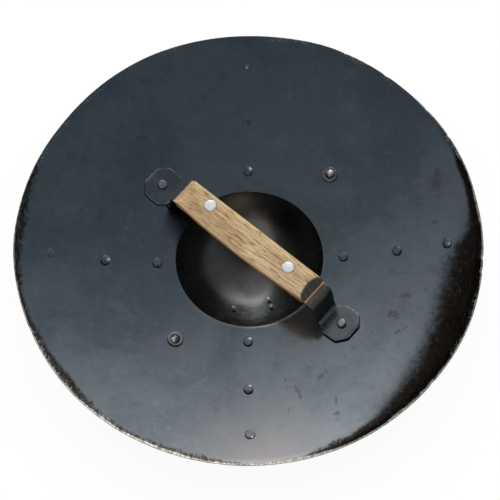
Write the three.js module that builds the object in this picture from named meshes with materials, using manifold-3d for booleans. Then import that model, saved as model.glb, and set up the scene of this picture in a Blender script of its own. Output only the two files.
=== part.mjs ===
// Buckler shield, lying boss-down: the hollow inner side with its hand grip faces up.
// Millimetres, +Z up. The origin is the middle of the small flat spot at the boss's apex.
// +X and +Y are the two arms of the rivet cross; the grip crosses them on a diagonal.

import * as THREE from 'three';
import { mergeVertices } from 'three/addons/utils/BufferGeometryUtils.js';
import Module from 'manifold-3d';

const wasm = await Module();
wasm.setup();

// ---------- driving dimensions ----------

const CLEARANCE = 0.3; // gap kept between pieces that touch

// The plate: a ring of sheet steel, dished to part of a sphere.
const PLATE_RADIUS = 190;
const PLATE_THICKNESS = 1.6;
const DISH_RADIUS = 525; // of the hollow inner face
const HOLE_RADIUS = 60;
const RIM_BEVEL = 0.5;

// The boss: a dome with a flange, riveted on behind the hole.
const BOSS_THICKNESS = 1.6;
const FLANGE_RADIUS = 108;
const DOME_RADIUS = 64.4; // of the dome's inside
const DOME_MOUTH_RADIUS = 61.5; // where the dome ends and the bend to the flange starts
const FLANGE_BEND_RADIUS = 68; // where that bend ends
const BEND_RISE = 4.5; // height of the bend above the dome's mouth
const BEND_CORNER = 1.4; // how far outside the mouth the bend's corner lies
const REST_FLAT_RADIUS = 14; // the flat spot that the shield lies on

// The handle: a strap with two feet, and a wooden scale on each side of it.
const HANDLE_ANGLE = -41.3; // degrees from +X
const HANDLE_CENTRE = [1.3, 0.8];
const STRAP_THICKNESS = 2;
const STRAP_LIFT = 28.5; // top of the strap above the plate at the hole's edge
const STRAP_HALF_WIDTH = 12;
const STRAP_FLAT_END = 71.5; // half length of the straight stretch
const STRAP_TAPER_START = 74.5;
const LEG_TOP = 76.5;
const LEG_FOOT = 80;
const NECK_HALF_WIDTH = 10.5;
const FOOT_START = 82.5;
const FOOT_SHOULDER = 88;
const FOOT_CLIP = 101.5;
const FOOT_END = 108.5;
const FOOT_HALF_WIDTH = 15.5;
const FOOT_END_HALF_WIDTH = 7.5;
const FOOT_GAP = 0.55; // under the middle of a foot, which is flat on a hollow plate
const FOOT_RIVET = 95.8; // from the handle's centre

// The strap's bends in side view, as [along, up] steps. The upper pair start at LEG_TOP,
// level with the strap's own face, and the lower pair at LEG_FOOT, level with the foot's.
const UPPER_BEND_INSIDE = [[-2.6, -1.6], [-1.2, -5]];
const LOWER_BEND_INSIDE = [[-2.2, 3.2], [-1, 0.8], [0.8, 0]];
const LOWER_BEND_OUTSIDE = [[2.8, 0], [1.5, 0.4], [-0.1, 2]];
const UPPER_BEND_OUTSIDE = [[0.9, -6.2], [-0.6, -2], [-3, -0.3], [-4.8, 0]];

const SCALE_HALF_WIDTH = 12;
const UPPER_SCALE_HALF_LENGTH = 70.2;
const LOWER_SCALE_HALF_LENGTH = 67.8;
const SCALE_SHIFT = -2.2; // the wood sits a little off the handle's centre
const SCALE_BEVEL = 8.5; // length of the sloping end
const SCALE_SWELL = 3.2; // how far the upper scale's near side bows out at its middle
const UPPER_SCALE_SIDE = 5.6; // height of its upright side
const UPPER_SCALE_CROWN = 3;
const LOWER_SCALE_SIDE = 3.4;
const LOWER_SCALE_CROWN = 3;
const GRIP_RIVETS = [[-43.8, 1.6], [39.6, 0.4]]; // along and across the handle

// Rivets: [radius, height] of the head on the hollow side, and of the stud on the front.
const SHANK_RADIUS = 2.2;
const RAISED_HEAD = [3.9, 1.9];
const LOW_HEAD = [4.2, 0.9];
const FLUSH_HEAD = [3.4, 0.35];
const FRONT_STUD = [5, 2.6];
const FOOT_HEAD = [3.8, 2.4];
const PEENED_HEAD = [4, 3];
const GRIP_HEAD = [4.8, 0.9];
const GRIP_SHANK_RADIUS = 2.5;
const FLAT_HEAD_SIDE = 0.75; // share of a flat head's height below its chamfer
const FLAT_HEAD_TOP = 0.9; // share of a flat head's radius inside its chamfer
const WASHER_RADIUS = 6.6;
const WASHER_THICKNESS = 1.3;

// Each arm of the cross: its direction, the rivets' distances from the centre,
// how far each was punched to the left of the line, and its head on the hollow side.
const ARMS = [
  {
    name: 'right', angle: 0, radii: [76.5, 120, 160], drift: [-1.5, -1, 0],
    heads: [RAISED_HEAD, RAISED_HEAD, RAISED_HEAD],
  },
  {
    name: 'far', angle: 90, radii: [77, 119, 163.5], drift: [0, 0, -0.5],
    heads: [RAISED_HEAD, FLUSH_HEAD, FLUSH_HEAD],
  },
  {
    name: 'left', angle: 180, radii: [75, 117, 160], drift: [3.5, 3.5, 1],
    heads: [RAISED_HEAD, RAISED_HEAD, FLUSH_HEAD],
  },
  {
    name: 'near', angle: 270, radii: [74, 118, 160], drift: [-2, -2, -1],
    heads: [RAISED_HEAD, RAISED_HEAD, LOW_HEAD],
  },
];
const RING_NAMES = ['inner', 'middle', 'outer'];

// The two washered rivets that hold the boss beside the handle: distance and direction.
const WASHERED_RIVETS = [
  { name: 'far_right', radius: 98, angle: 46.5 },
  { name: 'near_left', radius: 94, angle: 230 },
];

// Number of flats round each kind of turned piece, and of steps along each arc.
const PLATE_SIDES = 64;
const BOSS_SIDES = 48;
const RIVET_SIDES = 10;
const WASHER_SIDES = 16;
const GRIP_RIVET_SIDES = 16;
const DISH_STEPS = 5;
const FLANGE_STEPS = 2;
const BEND_STEPS = 3;
const DOME_STEPS = 6;
const HEAD_STEPS = 2;
const CROWN_STEPS = 6;
const SWELL_STEPS = 6;

const CUTTER_REACH = 12; // of a rivet hole's cutter, beyond the sheet or strap it starts at
const OVERSHOOT = 1; // by which other cutters pass the faces they cut

// ---------- heights that follow from them ----------

const degrees = THREE.MathUtils.degToRad;
const domeCentre = Math.sqrt((DOME_RADIUS + BOSS_THICKNESS) ** 2 - REST_FLAT_RADIUS ** 2);
const flangeFaceRadius = DISH_RADIUS + PLATE_THICKNESS + CLEARANCE;
const domeMouthHeight = domeCentre - Math.sqrt(DOME_RADIUS ** 2 - DOME_MOUTH_RADIUS ** 2);
const dishCentre = domeMouthHeight + BEND_RISE
  + Math.sqrt(flangeFaceRadius ** 2 - DOME_MOUTH_RADIUS ** 2);

// Height, at a distance from the middle, of a sphere round the dish's centre.
function sphereHeight(sphereRadius, distance) {
  return dishCentre - Math.sqrt(sphereRadius ** 2 - distance ** 2);
}

const strapTop = sphereHeight(DISH_RADIUS, HOLE_RADIUS) + STRAP_LIFT;
const strapBottom = strapTop - STRAP_THICKNESS;

// ---------- geometry helpers ----------

// Turns a closed [radius, height] profile about the Z axis.
function turned(profile, sides) {
  const points = profile.map(([radius, height]) => new THREE.Vector2(radius, height));
  const closed = profile[0][0] === 0 ? points : [...points, points[0].clone()];
  const geometry = new THREE.LatheGeometry(closed, sides);
  geometry.rotateX(Math.PI / 2);
  return geometry;
}

// Extrudes an outline in the XY plane from one height to another.
function prism(outline, bottom, top) {
  const shape = new THREE.Shape(outline.map(([x, y]) => new THREE.Vector2(x, y)));
  const geometry = new THREE.ExtrudeGeometry(shape, { depth: top - bottom, bevelEnabled: false });
  geometry.translate(0, 0, bottom);
  return geometry;
}

// Extrudes an [along, height] side view across the handle, equally to both sides.
function sideView(outline, halfWidth) {
  const geometry = prism(outline, -halfWidth, halfWidth);
  geometry.rotateX(Math.PI / 2);
  return geometry;
}

// Extrudes an [across, height] section along the handle.
function section(outline, from, to) {
  const geometry = prism(outline, from, to);
  geometry.rotateX(Math.PI / 2);
  geometry.rotateZ(Math.PI / 2);
  return geometry;
}

function toManifold(geometry) {
  const bare = geometry.clone();
  bare.deleteAttribute('normal');
  bare.deleteAttribute('uv');
  const merged = mergeVertices(bare, 1e-4);
  const solid = new wasm.Manifold(new wasm.Mesh({
    numProp: 3,
    vertProperties: new Float32Array(merged.attributes.position.array),
    triVerts: new Uint32Array(merged.index.array),
  }));
  return solid.volume() < 0 ? flipped(merged) : solid;
}

// The same closed mesh with its faces turned round.
function flipped(merged) {
  const triangles = new Uint32Array(merged.index.array);
  for (let i = 0; i < triangles.length; i += 3) {
    const first = triangles[i];
    triangles[i] = triangles[i + 1];
    triangles[i + 1] = first;
  }
  return new wasm.Manifold(new wasm.Mesh({
    numProp: 3,
    vertProperties: new Float32Array(merged.attributes.position.array),
    triVerts: triangles,
  }));
}

function toGeometry(solid) {
  const mesh = solid.getMesh();
  const geometry = new THREE.BufferGeometry();
  geometry.setAttribute('position', new THREE.BufferAttribute(mesh.vertProperties, 3));
  geometry.setIndex(new THREE.BufferAttribute(mesh.triVerts, 1));
  geometry.computeVertexNormals();
  return geometry;
}

// [distance, height] points along a sphere round the dish's centre.
function dishArc(sphereRadius, from, to, steps) {
  const points = [];
  for (let i = 0; i <= steps; i += 1) {
    const distance = from + (to - from) * i / steps;
    points.push([distance, sphereHeight(sphereRadius, distance)]);
  }
  return points;
}

// ---------- where the rivets go ----------

// A frame on the dish whose Z axis points along the surface's normal, into the hollow.
function dishFrame(x, y) {
  const onFace = new THREE.Vector3(x, y, sphereHeight(DISH_RADIUS, Math.hypot(x, y)));
  const normal = new THREE.Vector3(0, 0, dishCentre).sub(onFace).normalize();
  const turn = new THREE.Quaternion().setFromUnitVectors(new THREE.Vector3(0, 0, 1), normal);
  return new THREE.Matrix4().compose(onFace, turn, new THREE.Vector3(1, 1, 1));
}

function polar(radius, angle, drift = 0) {
  const turn = degrees(angle);
  const x = radius * Math.cos(turn) - drift * Math.sin(turn);
  const y = radius * Math.sin(turn) + drift * Math.cos(turn);
  return [x, y];
}

// From handle coordinates, along and across it, to X and Y.
function onHandle(along, across) {
  const [x, y] = polar(along, HANDLE_ANGLE, across);
  return [HANDLE_CENTRE[0] + x, HANDLE_CENTRE[1] + y];
}

const armRivets = [];
for (const arm of ARMS) {
  for (let ring = 0; ring < arm.radii.length; ring += 1) {
    armRivets.push({
      name: `rivet_${arm.name}_${RING_NAMES[ring]}`,
      place: polar(arm.radii[ring], arm.angle, arm.drift[ring]),
      head: arm.heads[ring],
      throughBoss: ring === 0,
    });
  }
}
const washeredRivets = WASHERED_RIVETS.map((rivet) => ({
  name: rivet.name,
  place: polar(rivet.radius, rivet.angle),
}));
const footRivets = [
  { name: 'foot_rivet_far', place: onHandle(-FOOT_RIVET, 0) },
  { name: 'foot_rivet_near', place: onHandle(FOOT_RIVET, 0) },
];

// ---------- rivets and washers ----------

// A rivet along Z. The head starts at headBase and the stud hangs down from studBase.
function rivetGeometry({ head, domed, headBase, stud, studBase, shank, sides }) {
  const profile = [[0, studBase - stud[1]]];
  for (let i = HEAD_STEPS; i >= 1; i -= 1) {
    const rise = Math.PI / 2 * i / (HEAD_STEPS + 1);
    profile.push([stud[0] * Math.cos(rise), studBase - stud[1] * Math.sin(rise)]);
  }
  profile.push([stud[0], studBase]);
  profile.push([shank, studBase]);
  profile.push([shank, headBase]);
  profile.push([head[0], headBase]);
  if (domed) {
    for (let i = 1; i <= HEAD_STEPS; i += 1) {
      const rise = Math.PI / 2 * i / (HEAD_STEPS + 1);
      profile.push([head[0] * Math.cos(rise), headBase + head[1] * Math.sin(rise)]);
    }
  } else {
    profile.push([head[0], headBase + head[1] * FLAT_HEAD_SIDE]);
    profile.push([head[0] * FLAT_HEAD_TOP, headBase + head[1]]);
  }
  profile.push([0, headBase + head[1]]);
  return turned(profile, sides);
}

// How far below the dish's inner face the front stud of a rivet sits.
function studBase(throughBoss) {
  const sheet = throughBoss ? PLATE_THICKNESS + CLEARANCE + BOSS_THICKNESS : PLATE_THICKNESS;
  return -sheet - CLEARANCE;
}

function plateRivet(place, head, domed, headBase, throughBoss) {
  const geometry = rivetGeometry({
    head, domed, headBase,
    stud: FRONT_STUD,
    studBase: studBase(throughBoss),
    shank: SHANK_RADIUS,
    sides: RIVET_SIDES,
  });
  return geometry.applyMatrix4(dishFrame(...place));
}

function washerGeometry(place) {
  const profile = [
    [SHANK_RADIUS + CLEARANCE, CLEARANCE],
    [WASHER_RADIUS, CLEARANCE],
    [WASHER_RADIUS, CLEARANCE + WASHER_THICKNESS],
    [SHANK_RADIUS + CLEARANCE, CLEARANCE + WASHER_THICKNESS],
  ];
  return turned(profile, WASHER_SIDES).applyMatrix4(dishFrame(...place));
}

// A cutter for the hole of one rivet, right through every sheet.
function holeCutter(place) {
  const profile = [
    [0, -CUTTER_REACH],
    [SHANK_RADIUS + CLEARANCE, -CUTTER_REACH],
    [SHANK_RADIUS + CLEARANCE, CUTTER_REACH],
    [0, CUTTER_REACH],
  ];
  return toManifold(turned(profile, RIVET_SIDES).applyMatrix4(dishFrame(...place)));
}

function withHoles(geometry, places) {
  let solid = toManifold(geometry);
  for (const place of places) {
    solid = solid.subtract(holeCutter(place));
  }
  return toGeometry(solid);
}

// ---------- plate ----------

function plateGeometry() {
  const outerFace = DISH_RADIUS + PLATE_THICKNESS;
  const profile = [
    ...dishArc(outerFace, HOLE_RADIUS, PLATE_RADIUS, DISH_STEPS),
    [PLATE_RADIUS, sphereHeight(DISH_RADIUS, PLATE_RADIUS) - RIM_BEVEL],
    ...dishArc(DISH_RADIUS, PLATE_RADIUS - RIM_BEVEL, HOLE_RADIUS, DISH_STEPS),
  ];
  const places = [...armRivets, ...washeredRivets, ...footRivets].map((rivet) => rivet.place);
  return withHoles(turned(profile, PLATE_SIDES), places);
}

// ---------- boss ----------

// The boss's hollow face from the flange's edge to the axis, each point with its normal.
function bossFace() {
  const face = [];
  for (const [distance, height] of
    dishArc(flangeFaceRadius, FLANGE_RADIUS, FLANGE_BEND_RADIUS, FLANGE_STEPS)) {
    face.push({ at: [distance, height], normal: [-distance, dishCentre - height] });
  }
  const bendEnd = [DOME_MOUTH_RADIUS, domeMouthHeight];
  const bendStart = face[face.length - 1].at;
  const corner = [DOME_MOUTH_RADIUS + BEND_CORNER, bendStart[1]];
  for (let i = 1; i < BEND_STEPS; i += 1) {
    const t = i / BEND_STEPS;
    const at = [0, 1].map((k) => (1 - t) ** 2 * bendStart[k]
      + 2 * t * (1 - t) * corner[k] + t ** 2 * bendEnd[k]);
    const slope = [0, 1].map((k) => (1 - t) * (corner[k] - bendStart[k])
      + t * (bendEnd[k] - corner[k]));
    face.push({ at, normal: [slope[1], -slope[0]] });
  }
  const mouthAngle = Math.asin(DOME_MOUTH_RADIUS / DOME_RADIUS);
  const flatAngle = Math.asin(REST_FLAT_RADIUS / (DOME_RADIUS + BOSS_THICKNESS));
  for (let i = 0; i <= DOME_STEPS; i += 1) {
    const angle = mouthAngle + (flatAngle - mouthAngle) * i / DOME_STEPS;
    const at = [DOME_RADIUS * Math.sin(angle), domeCentre - DOME_RADIUS * Math.cos(angle)];
    face.push({ at, normal: [-Math.sin(angle), Math.cos(angle)] });
  }
  return face;
}

function bossGeometry() {
  const face = bossFace();
  const inside = face.map(({ at }) => at);
  const outside = face.map(({ at, normal }) => {
    const length = Math.hypot(...normal);
    return [0, 1].map((k) => at[k] - BOSS_THICKNESS * normal[k] / length);
  });
  outside[outside.length - 1][1] = 0;
  const flatTop = [0, inside[inside.length - 1][1]];
  const profile = [[0, 0], ...outside.reverse(), ...inside, flatTop];
  const places = [
    ...armRivets.filter((rivet) => rivet.throughBoss),
    ...washeredRivets,
    ...footRivets,
  ].map((rivet) => rivet.place);
  return withHoles(turned(profile, BOSS_SIDES), places);
}

// ---------- handle, built along +X and then turned into place ----------

function placeOnShield(geometry) {
  geometry.rotateZ(degrees(HANDLE_ANGLE));
  geometry.translate(HANDLE_CENTRE[0], HANDLE_CENTRE[1], 0);
  return geometry;
}

// Height of the underside of a foot, at a distance along the handle.
function footHeight(along) {
  return sphereHeight(DISH_RADIUS, Math.hypot(...onHandle(along, 0))) + FOOT_GAP;
}

// The strap's underside and upper side, from the middle out to one end.
function strapSide(direction) {
  const footStart = footHeight(direction * FOOT_START);
  const footEnd = footHeight(direction * FOOT_END);
  const bend = (steps, along, height) => steps.map((step) => [along + step[0], height + step[1]]);
  const lower = [
    [STRAP_FLAT_END, strapBottom],
    ...bend(UPPER_BEND_INSIDE, LEG_TOP, strapBottom),
    ...bend(LOWER_BEND_INSIDE, LEG_FOOT, footStart),
    [FOOT_START, footStart],
    [FOOT_END, footEnd],
  ];
  const upper = [
    [FOOT_END, footEnd + STRAP_THICKNESS],
    ...bend(LOWER_BEND_OUTSIDE, LEG_FOOT, footStart + STRAP_THICKNESS),
    ...bend(UPPER_BEND_OUTSIDE, LEG_TOP, strapTop),
  ];
  return { lower, upper };
}

// Half of the strap seen from above, from the middle of its edge to the end of a foot.
const strapEdge = [
  [STRAP_TAPER_START, STRAP_HALF_WIDTH],
  [FOOT_START, NECK_HALF_WIDTH],
  [FOOT_SHOULDER, FOOT_HALF_WIDTH],
  [FOOT_CLIP, FOOT_HALF_WIDTH],
  [FOOT_END, FOOT_END_HALF_WIDTH],
];

function strapGeometry() {
  const far = strapSide(-1);
  const near = strapSide(1);
  const mirrored = (points) => points.map(([along, height]) => [-along, height]);
  const profile = [
    ...near.lower,
    ...near.upper,
    ...mirrored(far.upper).reverse(),
    ...mirrored(far.lower).reverse(),
  ];
  const outline = [
    ...strapEdge.map(([along, across]) => [along, -across]),
    ...[...strapEdge].reverse(),
    ...strapEdge.map(([along, across]) => [-along, across]),
    ...[...strapEdge].reverse().map(([along, across]) => [-along, -across]),
  ];
  const body = toManifold(sideView(profile, FOOT_HALF_WIDTH + OVERSHOOT));
  const cutout = toManifold(prism(outline, 0, strapTop + OVERSHOOT));
  const strap = toGeometry(body.intersect(cutout));
  let solid = toManifold(placeOnShield(strap));
  for (const rivet of footRivets) {
    solid = solid.subtract(holeCutter(rivet.place));
  }
  for (const cutter of gripHoleCutters()) {
    solid = solid.subtract(cutter);
  }
  return toGeometry(solid);
}

function gripHoleCutters() {
  return GRIP_RIVETS.map(([along, across]) => {
    const hole = turned([
      [0, strapBottom - CUTTER_REACH],
      [GRIP_SHANK_RADIUS + CLEARANCE, strapBottom - CUTTER_REACH],
      [GRIP_SHANK_RADIUS + CLEARANCE, strapTop + CUTTER_REACH],
      [0, strapTop + CUTTER_REACH],
    ], GRIP_RIVET_SIDES);
    const [x, y] = onHandle(along, across);
    return toManifold(hole.translate(x, y, 0));
  });
}

const UPPER_SCALE = {
  base: strapTop + CLEARANCE,
  direction: 1,
  halfLength: UPPER_SCALE_HALF_LENGTH,
  side: UPPER_SCALE_SIDE,
  crown: UPPER_SCALE_CROWN,
  swell: SCALE_SWELL,
};
const LOWER_SCALE = {
  base: strapBottom - CLEARANCE,
  direction: -1,
  halfLength: LOWER_SCALE_HALF_LENGTH,
  side: LOWER_SCALE_SIDE,
  crown: LOWER_SCALE_CROWN,
  swell: 0,
};

// A scale seen from above: straight on the far side, bowed by its swell on the near side.
function scalePlan(start, end, swell) {
  const plan = [[end, SCALE_HALF_WIDTH], [start, SCALE_HALF_WIDTH]];
  for (let i = 0; i <= SWELL_STEPS; i += 1) {
    const share = i / SWELL_STEPS;
    const bow = 4 * share * (1 - share) * swell;
    plan.push([start + (end - start) * share, -SCALE_HALF_WIDTH - bow]);
  }
  return plan;
}

// One wooden scale: flat against the strap at base, and crowned away from it.
function scaleGeometry({ base, direction, halfLength, side, crown, swell }) {
  const start = SCALE_SHIFT - halfLength;
  const end = SCALE_SHIFT + halfLength;
  const low = -SCALE_HALF_WIDTH - swell;
  const outline = [[low, base], [SCALE_HALF_WIDTH, base]];
  for (let i = 0; i <= CROWN_STEPS; i += 1) {
    const across = 1 - 2 * i / CROWN_STEPS;
    const rise = side + crown * (1 - across ** 2);
    const place = (SCALE_HALF_WIDTH + low + (SCALE_HALF_WIDTH - low) * across) / 2;
    outline.push([place, base + direction * rise]);
  }
  const beyond = base + direction * (side + crown + OVERSHOOT);
  const ends = [
    [start, base - direction * OVERSHOOT],
    [end, base - direction * OVERSHOOT],
    [end, base],
    [end - SCALE_BEVEL, beyond],
    [start + SCALE_BEVEL, beyond],
    [start, base],
  ];
  const bottom = Math.min(base, beyond) - OVERSHOOT;
  const top = Math.max(base, beyond) + OVERSHOOT;
  const bar = toManifold(section(outline, start - OVERSHOOT, end + OVERSHOOT))
    .intersect(toManifold(sideView(ends, SCALE_HALF_WIDTH + swell + OVERSHOOT)))
    .intersect(toManifold(prism(scalePlan(start, end, swell), bottom, top)));
  let solid = toManifold(placeOnShield(toGeometry(bar)));
  for (const cutter of gripHoleCutters()) {
    solid = solid.subtract(cutter);
  }
  return toGeometry(solid);
}

// A rivet through both scales and the strap, its low heads just proud of the wood.
function gripRivetGeometry([along, across]) {
  const crown = UPPER_SCALE_CROWN * (1 - (across / SCALE_HALF_WIDTH) ** 2);
  const topOfWood = strapTop + CLEARANCE + UPPER_SCALE_SIDE + crown;
  const bottomOfWood = strapBottom - CLEARANCE - LOWER_SCALE_SIDE - LOWER_SCALE_CROWN;
  const geometry = rivetGeometry({
    head: GRIP_HEAD,
    domed: true,
    headBase: topOfWood + CLEARANCE / 2,
    stud: GRIP_HEAD,
    studBase: bottomOfWood - CLEARANCE / 2,
    shank: GRIP_SHANK_RADIUS,
    sides: GRIP_RIVET_SIDES,
  });
  const [x, y] = onHandle(along, across);
  return geometry.translate(x, y, 0);
}

// ---------- materials ----------

const BLACKENED_STEEL = { color: 0x3b444c, roughness: 0.3, metalness: 0.6 };
const DOME_STEEL = { color: 0x2a2d2f, roughness: 0.25, metalness: 0.6 };
const STRAP_STEEL = { color: 0x2c2c2e, roughness: 0.45, metalness: 0.6 };
const RIVET_STEEL = { color: 0x4a5258, roughness: 0.35, metalness: 0.7 };
const WASHER_STEEL = { color: 0x565c60, roughness: 0.35, metalness: 0.8 };
const OILED_WOOD = { color: 0xc39a63, roughness: 0.6, metalness: 0 };
const BARE_ALUMINIUM = { color: 0xdfe3e6, roughness: 0.35, metalness: 1 };

// ---------- assembly ----------

const shield = new THREE.Group();

function addPiece(name, geometry, look) {
  const mesh = new THREE.Mesh(geometry, new THREE.MeshStandardMaterial(look));
  mesh.name = name;
  shield.add(mesh);
}

addPiece('plate', plateGeometry(), BLACKENED_STEEL);
addPiece('boss', bossGeometry(), DOME_STEEL);
for (const { name, place, head, throughBoss } of armRivets) {
  addPiece(name, plateRivet(place, head, false, CLEARANCE, throughBoss), RIVET_STEEL);
}
for (const { name, place } of washeredRivets) {
  const headBase = WASHER_THICKNESS + 2 * CLEARANCE;
  addPiece(`washer_${name}`, washerGeometry(place), WASHER_STEEL);
  addPiece(`boss_rivet_${name}`, plateRivet(place, PEENED_HEAD, true, headBase, true), RIVET_STEEL);
}
for (const { name, place } of footRivets) {
  const headBase = FOOT_GAP + STRAP_THICKNESS + CLEARANCE;
  addPiece(name, plateRivet(place, FOOT_HEAD, false, headBase, true), RIVET_STEEL);
}
addPiece('handle_strap', strapGeometry(), STRAP_STEEL);
addPiece('grip_scale_upper', scaleGeometry(UPPER_SCALE), OILED_WOOD);
addPiece('grip_scale_lower', scaleGeometry(LOWER_SCALE), OILED_WOOD);
addPiece('grip_rivet_far', gripRivetGeometry(GRIP_RIVETS[0]), BARE_ALUMINIUM);
addPiece('grip_rivet_near', gripRivetGeometry(GRIP_RIVETS[1]), BARE_ALUMINIUM);

export default shield;
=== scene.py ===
"""The looks of a dished steel buckler that lies boss-down with its grip facing up.

Metres, +Z up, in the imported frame: the handle runs on a diagonal and the rivet cross on X and Y.
"""

import math

import bpy
import numpy as np
from mathutils import Matrix, Vector, noise


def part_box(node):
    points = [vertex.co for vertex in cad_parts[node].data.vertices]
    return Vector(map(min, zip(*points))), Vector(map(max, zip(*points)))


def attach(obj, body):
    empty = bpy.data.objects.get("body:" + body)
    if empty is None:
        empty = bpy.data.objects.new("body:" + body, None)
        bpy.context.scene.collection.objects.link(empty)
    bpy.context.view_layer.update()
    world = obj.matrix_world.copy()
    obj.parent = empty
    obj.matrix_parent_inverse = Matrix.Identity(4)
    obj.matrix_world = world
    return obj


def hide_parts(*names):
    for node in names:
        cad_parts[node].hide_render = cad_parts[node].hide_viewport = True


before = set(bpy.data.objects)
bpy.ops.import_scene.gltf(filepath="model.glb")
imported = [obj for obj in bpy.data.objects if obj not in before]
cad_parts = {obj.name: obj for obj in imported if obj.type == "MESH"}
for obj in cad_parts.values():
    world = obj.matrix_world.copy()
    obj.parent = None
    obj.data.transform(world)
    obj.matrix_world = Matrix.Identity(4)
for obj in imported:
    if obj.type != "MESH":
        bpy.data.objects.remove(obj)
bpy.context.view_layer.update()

MM = 0.001

# ---------- sizes, as in the CAD, in millimetres ----------

PLATE_RADIUS = 190
PLATE_THICKNESS = 1.6
DISH_RADIUS = 525
HOLE_RADIUS = 60
FLANGE_RADIUS = 108
DOME_RADIUS = 64.4
DOME_MOUTH_RADIUS = 61.5
FLANGE_BEND_RADIUS = 68
BEND_RISE = 4.5
BEND_CORNER = 1.4
REST_FLAT_RADIUS = 14
CLEARANCE = 0.3
HANDLE_ANGLE = math.radians(-41.3)
HANDLE_CENTRE = (1.3, 0.8)
STRAP_THICKNESS = 2
STRAP_LIFT = 28.5
FOOT_GAP = 0.55
FOOT_END = 108.5
SCALE_HALF_WIDTH = 12
SCALE_SHIFT = -2.2
SCALE_BEVEL = 8.5
SCALE_GAP = 0.12
UPPER_SCALE = {"half_length": 70.2, "side": 5.6, "crown": 3, "swell": 3.2}
LOWER_SCALE = {"half_length": 67.8, "side": 3.4, "crown": 3, "swell": 0}

dome_centre = math.sqrt((DOME_RADIUS + PLATE_THICKNESS) ** 2 - REST_FLAT_RADIUS**2)
dome_mouth = dome_centre - math.sqrt(DOME_RADIUS**2 - DOME_MOUTH_RADIUS**2)
flange_face = DISH_RADIUS + PLATE_THICKNESS + CLEARANCE
dish_centre = dome_mouth + BEND_RISE + math.sqrt(flange_face**2 - DOME_MOUTH_RADIUS**2)


def dish_height(distance, depth=0.0):
    """Height of the sheet at a distance from the middle, at a depth below its hollow face."""
    return dish_centre - math.sqrt((DISH_RADIUS + depth) ** 2 - distance**2)


strap_top = dish_height(HOLE_RADIUS) + STRAP_LIFT
strap_bottom = strap_top - STRAP_THICKNESS


def wave(x, y, z, seed):
    """Smooth noise between about -1 and 1."""
    return noise.noise(Vector((x + 17.3 * seed, y - 9.1 * seed, z + 5.7 * seed)))


def step(value, low, high):
    """Smooth step from 0 to 1 as value goes from low to high."""
    t = min(1.0, max(0.0, (value - low) / (high - low)))
    return t * t * (3 - 2 * t)


# ---------- node helpers ----------


def add(tree, kind, inputs=None, **settings):
    made = tree.nodes.new(kind)
    for key, value in settings.items():
        setattr(made, key, value)
    for key, value in (inputs or {}).items():
        if isinstance(value, bpy.types.NodeSocket):
            tree.links.new(value, made.inputs[key])
        else:
            made.inputs[key].default_value = value
    return made


def maths(tree, operation, a, b=0.0, clamp=False):
    return add(tree, "ShaderNodeMath", {0: a, 1: b}, operation=operation, use_clamp=clamp).outputs[0]


def blend(tree, share, a, b, mode="MIX"):
    """Mixes two colours."""
    a, b = (v if isinstance(v, bpy.types.NodeSocket) else (*v, 1) for v in (a, b))
    made = add(tree, "ShaderNodeMix", data_type="RGBA", blend_type=mode, clamp_factor=True)
    for socket, value in zip((made.inputs[0], made.inputs[6], made.inputs[7]), (share, a, b)):
        if isinstance(value, bpy.types.NodeSocket):
            tree.links.new(value, socket)
        else:
            socket.default_value = value
    return made.outputs[2]


def remap(tree, value, low, high, to_low=0.0, to_high=1.0):
    """Takes low..high smoothly to to_low..to_high, and holds it there outside."""
    made = add(tree, "ShaderNodeMapRange", interpolation_type="SMOOTHSTEP")
    for socket, number in zip(made.inputs, (value, low, high, to_low, to_high)):
        if isinstance(number, bpy.types.NodeSocket):
            tree.links.new(number, socket)
        else:
            socket.default_value = number
    return made.outputs[0]


def grain_noise(tree, vector, scale, detail=4.0, roughness=0.55, distortion=0.0, stretch=None):
    """Noise of a scale per metre, pulled out along the axes by stretch."""
    if stretch:
        vector = add(tree, "ShaderNodeVectorMath", {0: vector, 1: stretch}, operation="MULTIPLY").outputs[0]
    made = add(tree, "ShaderNodeTexNoise", {"Vector": vector, "Scale": scale, "Detail": detail,
                                            "Roughness": roughness, "Distortion": distortion})
    return made.outputs[0]


def attribute(tree, name, output="Fac"):
    return add(tree, "ShaderNodeAttribute", attribute_name=name).outputs[output]


def place(tree):
    return add(tree, "ShaderNodeTexCoord").outputs["Object"]


def near_point(tree, vector, point, radius, soft=0.5):
    """1 within a radius of a point, in millimetres, fading to 0 over soft of that radius."""
    at = tuple(v * MM for v in point)
    away = add(tree, "ShaderNodeVectorMath", {0: vector, 1: at}, operation="DISTANCE").outputs["Value"]
    return remap(tree, away, radius * MM * (1 - soft), radius * MM, 1.0, 0.0)


def finish_material(name, build):
    """A material whose Principled shader gets what build returns: {socket: value}."""
    material = bpy.data.materials.new(name)
    material.use_nodes = True
    tree = material.node_tree
    shader = tree.nodes["Principled BSDF"]
    for key, value in build(tree).items():
        if isinstance(value, bpy.types.NodeSocket):
            tree.links.new(value, shader.inputs[key])
        else:
            shader.inputs[key].default_value = value
    return material


def bump(tree, height, distance, strength=1.0, normal=None):
    inputs = {"Height": height, "Distance": distance, "Strength": strength}
    if normal is not None:
        inputs["Normal"] = normal
    return add(tree, "ShaderNodeBump", inputs).outputs[0]


# ---------- materials ----------


# Where a look changes on the hollow side: middle and radius in millimetres.
# Painted reflection on the hollow side: paler towards the near rim, browner by the near foot.
PAINTED_REFLECTION_BY_NEAR_RIM = (5, -196, 70), 96
PAINTED_BROWN_REFLECTION_BY_NEAR_FOOT = (44, -57, 52), 25
DULL_BY_FAR_FOOT = (-66, 28, 52), 27
# Painted light on the boss's hollow: a grey glow and a highlight on the near wall, a brown sheen and painted
# shade on the far wall.
PAINTED_GLOW_NEAR_WALL = (4, -27, 6), 44
PAINTED_HIGHLIGHT_NEAR_WALL = (5, -31, 8), 19
PAINTED_SHEEN_FAR_WALL = (-10, 58, 38), 27
PAINTED_SHADE_FAR_WALL = (31, 44, 30), 30
NEAR_BEND = (58, -49, 70), 19


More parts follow.
